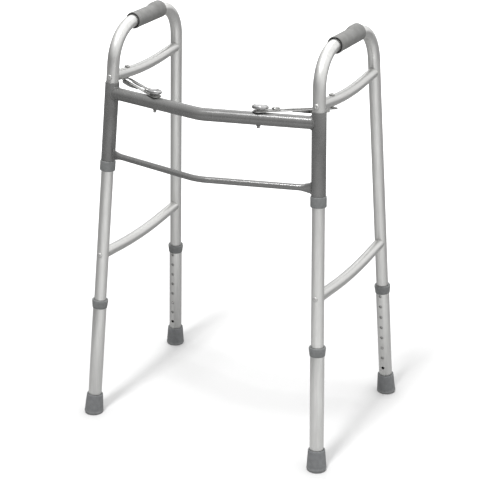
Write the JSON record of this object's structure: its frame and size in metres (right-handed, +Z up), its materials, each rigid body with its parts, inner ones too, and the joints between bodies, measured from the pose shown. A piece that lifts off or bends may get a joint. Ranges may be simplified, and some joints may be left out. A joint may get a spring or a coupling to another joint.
{
  "type": "folding walker",
  "caption": "Folding walking frame of silver tube with grey grips, bowed front crossbars, thumb-paddle fold latches and telescopic legs on rubber tips",
  "frame": {"origin": "on the floor under the middle of the walker, midway between the front and rear feet", "axes": "+Z up, +Y towards the open side where the user walks, +X to the right of someone facing the front crossbar from outside"},
  "size_m": [0.5828, 0.4167, 0.8625],
  "materials": {
    "silver_tube": "satin anodised",
    "painted_steel": "semi-gloss dark grey paint",
    "grip": "soft moulded grip",
    "moulding": "fine moulded texture",
    "rubber": "matte grey rubber",
    "bright_zinc": "zinc plated",
    "rivet_steel": "plain steel",
    "chrome": "bright plated"
  },
  "bodies": {
    "front_frame": {"upper_crossbar": "painted_steel", "lower_crossbar": "painted_steel", "left_hinge_sleeve": "painted_steel", "left_latch_washer": "bright_zinc", "left_plunger_spring": "bright_zinc", "right_hinge_sleeve": "painted_steel", "right_latch_washer": "bright_zinc", "right_plunger_spring": "bright_zinc"},
    "left_side": {"left_side_tube": "silver_tube", "left_upper_brace": "silver_tube", "left_lower_brace": "silver_tube", "left_hand_grip": "grip", "left_stop_collar": "moulding", "left_brace_bolt": "bright_zinc", "left_brace_nut": "bright_zinc", "left_upper_front_rivet": "rivet_steel", "left_upper_rear_rivet": "rivet_steel", "left_lower_front_rivet": "rivet_steel", "left_lower_rear_rivet": "rivet_steel", "left_front_button_spring": "bright_zinc", "left_rear_button_spring": "bright_zinc"},
    "left_link": {"left_fold_link": "bright_zinc", "left_latch_plate": "bright_zinc"},
    "left_paddle": {"left_release_paddle": "chrome", "left_plunger_pin": "bright_zinc", "left_plunger_clip": "bright_zinc"},
    "left_front_leg": {"left_front_leg_tube": "silver_tube", "left_front_leg_collar": "moulding", "left_front_rubber_tip": "rubber"},
    "left_front_button": {"left_front_snap_button": "bright_zinc"},
    "left_rear_leg": {"left_rear_leg_tube": "silver_tube", "left_rear_leg_collar": "moulding", "left_rear_rubber_tip": "rubber"},
    "left_rear_button": {"left_rear_snap_button": "bright_zinc"},
    "right_side": {"right_side_tube": "silver_tube", "right_upper_brace": "silver_tube", "right_lower_brace": "silver_tube", "right_hand_grip": "grip", "right_stop_collar": "moulding", "right_brace_bolt": "bright_zinc", "right_brace_nut": "bright_zinc", "right_upper_front_rivet": "rivet_steel", "right_upper_rear_rivet": "rivet_steel", "right_lower_front_rivet": "rivet_steel", "right_lower_rear_rivet": "rivet_steel", "right_front_button_spring": "bright_zinc", "right_rear_button_spring": "bright_zinc"},
    "right_link": {"right_fold_link": "bright_zinc", "right_latch_plate": "bright_zinc"},
    "right_paddle": {"right_release_paddle": "chrome", "right_plunger_pin": "bright_zinc", "right_plunger_clip": "bright_zinc"},
    "right_front_leg": {"right_front_leg_tube": "silver_tube", "right_front_leg_collar": "moulding", "right_front_rubber_tip": "rubber"},
    "right_front_button": {"right_front_snap_button": "bright_zinc"},
    "right_rear_leg": {"right_rear_leg_tube": "silver_tube", "right_rear_leg_collar": "moulding", "right_rear_rubber_tip": "rubber"},
    "right_rear_button": {"right_rear_snap_button": "bright_zinc"}
  },
  "joints": [
    {"name": "left_side_fold", "type": "hinge", "parent": "front_frame", "child": "left_side", "pos_m": [-0.22829, -0.1274, 0.711], "axis": [-0.0519, -0.0848, -0.995], "range_deg": [0, 88]},
    {"name": "left_link_swing", "type": "hinge", "parent": "front_frame", "child": "left_link", "pos_m": [-0.11295, -0.15231, 0.711], "axis": [-0.0519, -0.0848, -0.995], "range_deg": [-9.4, 0]},
    {"name": "left_paddle_press", "type": "slide", "parent": "front_frame", "child": "left_paddle", "axis": [-0.0519, -0.0848, -0.995], "range_m": [0, 0.0025], "stiffness_N_per_m": 1200, "springref_m": -0.002, "deforming": ["left_plunger_spring"]},
    {"name": "left_front_leg_slide", "type": "slide", "parent": "left_side", "child": "left_front_leg", "axis": [-0.0519, -0.0848, -0.995], "range_m": [-0.0508, 0.1016]},
    {"name": "left_front_button_press", "type": "slide", "parent": "left_side", "child": "left_front_button", "axis": [0.0193, -0.9963, 0.0839], "range_m": [0, 0.004], "stiffness_N_per_m": 700, "springref_m": -0.002, "deforming": ["left_front_button_spring"]},
    {"name": "left_rear_leg_slide", "type": "slide", "parent": "left_side", "child": "left_rear_leg", "axis": [-0.0541, 0.0566, -0.9969], "range_m": [-0.0508, 0.1016]},
    {"name": "left_rear_button_press", "type": "slide", "parent": "left_side", "child": "left_rear_button", "axis": [-0.0117, 0.9983, 0.0573], "range_m": [0, 0.004], "stiffness_N_per_m": 700, "springref_m": -0.002, "deforming": ["left_rear_button_spring"]},
    {"name": "right_side_fold", "type": "hinge", "parent": "front_frame", "child": "right_side", "pos_m": [0.22829, -0.1274, 0.711], "axis": [-0.0519, 0.0848, 0.995], "range_deg": [0, 76]},
    {"name": "right_link_swing", "type": "hinge", "parent": "front_frame", "child": "right_link", "pos_m": [0.11295, -0.15231, 0.711], "axis": [-0.0519, 0.0848, 0.995], "range_deg": [-1.7, 0]},
    {"name": "right_paddle_press", "type": "slide", "parent": "front_frame", "child": "right_paddle", "axis": [0.0519, -0.0848, -0.995], "range_m": [0, 0.0025], "stiffness_N_per_m": 1200, "springref_m": -0.002, "deforming": ["right_plunger_spring"]},
    {"name": "right_front_leg_slide", "type": "slide", "parent": "right_side", "child": "right_front_leg", "axis": [0.0519, -0.0848, -0.995], "range_m": [-0.0508, 0.1016]},
    {"name": "right_front_button_press", "type": "slide", "parent": "right_side", "child": "right_front_button", "axis": [-0.0193, -0.9963, 0.0839], "range_m": [0, 0.004], "stiffness_N_per_m": 700, "springref_m": -0.002, "deforming": ["right_front_button_spring"]},
    {"name": "right_rear_leg_slide", "type": "slide", "parent": "right_side", "child": "right_rear_leg", "axis": [0.0541, 0.0566, -0.9969], "range_m": [-0.0508, 0.1016]},
    {"name": "right_rear_button_press", "type": "slide", "parent": "right_side", "child": "right_rear_button", "axis": [0.0117, 0.9983, 0.0573], "range_m": [0, 0.004], "stiffness_N_per_m": 700, "springref_m": -0.002, "deforming": ["right_rear_button_spring"]}
  ],
  "couplings": [
    {"joint": "left_link_swing", "follows": "left_side_fold", "ratio": -0.106},
    {"joint": "right_link_swing", "follows": "right_side_fold", "ratio": -0.0207}
  ]
}
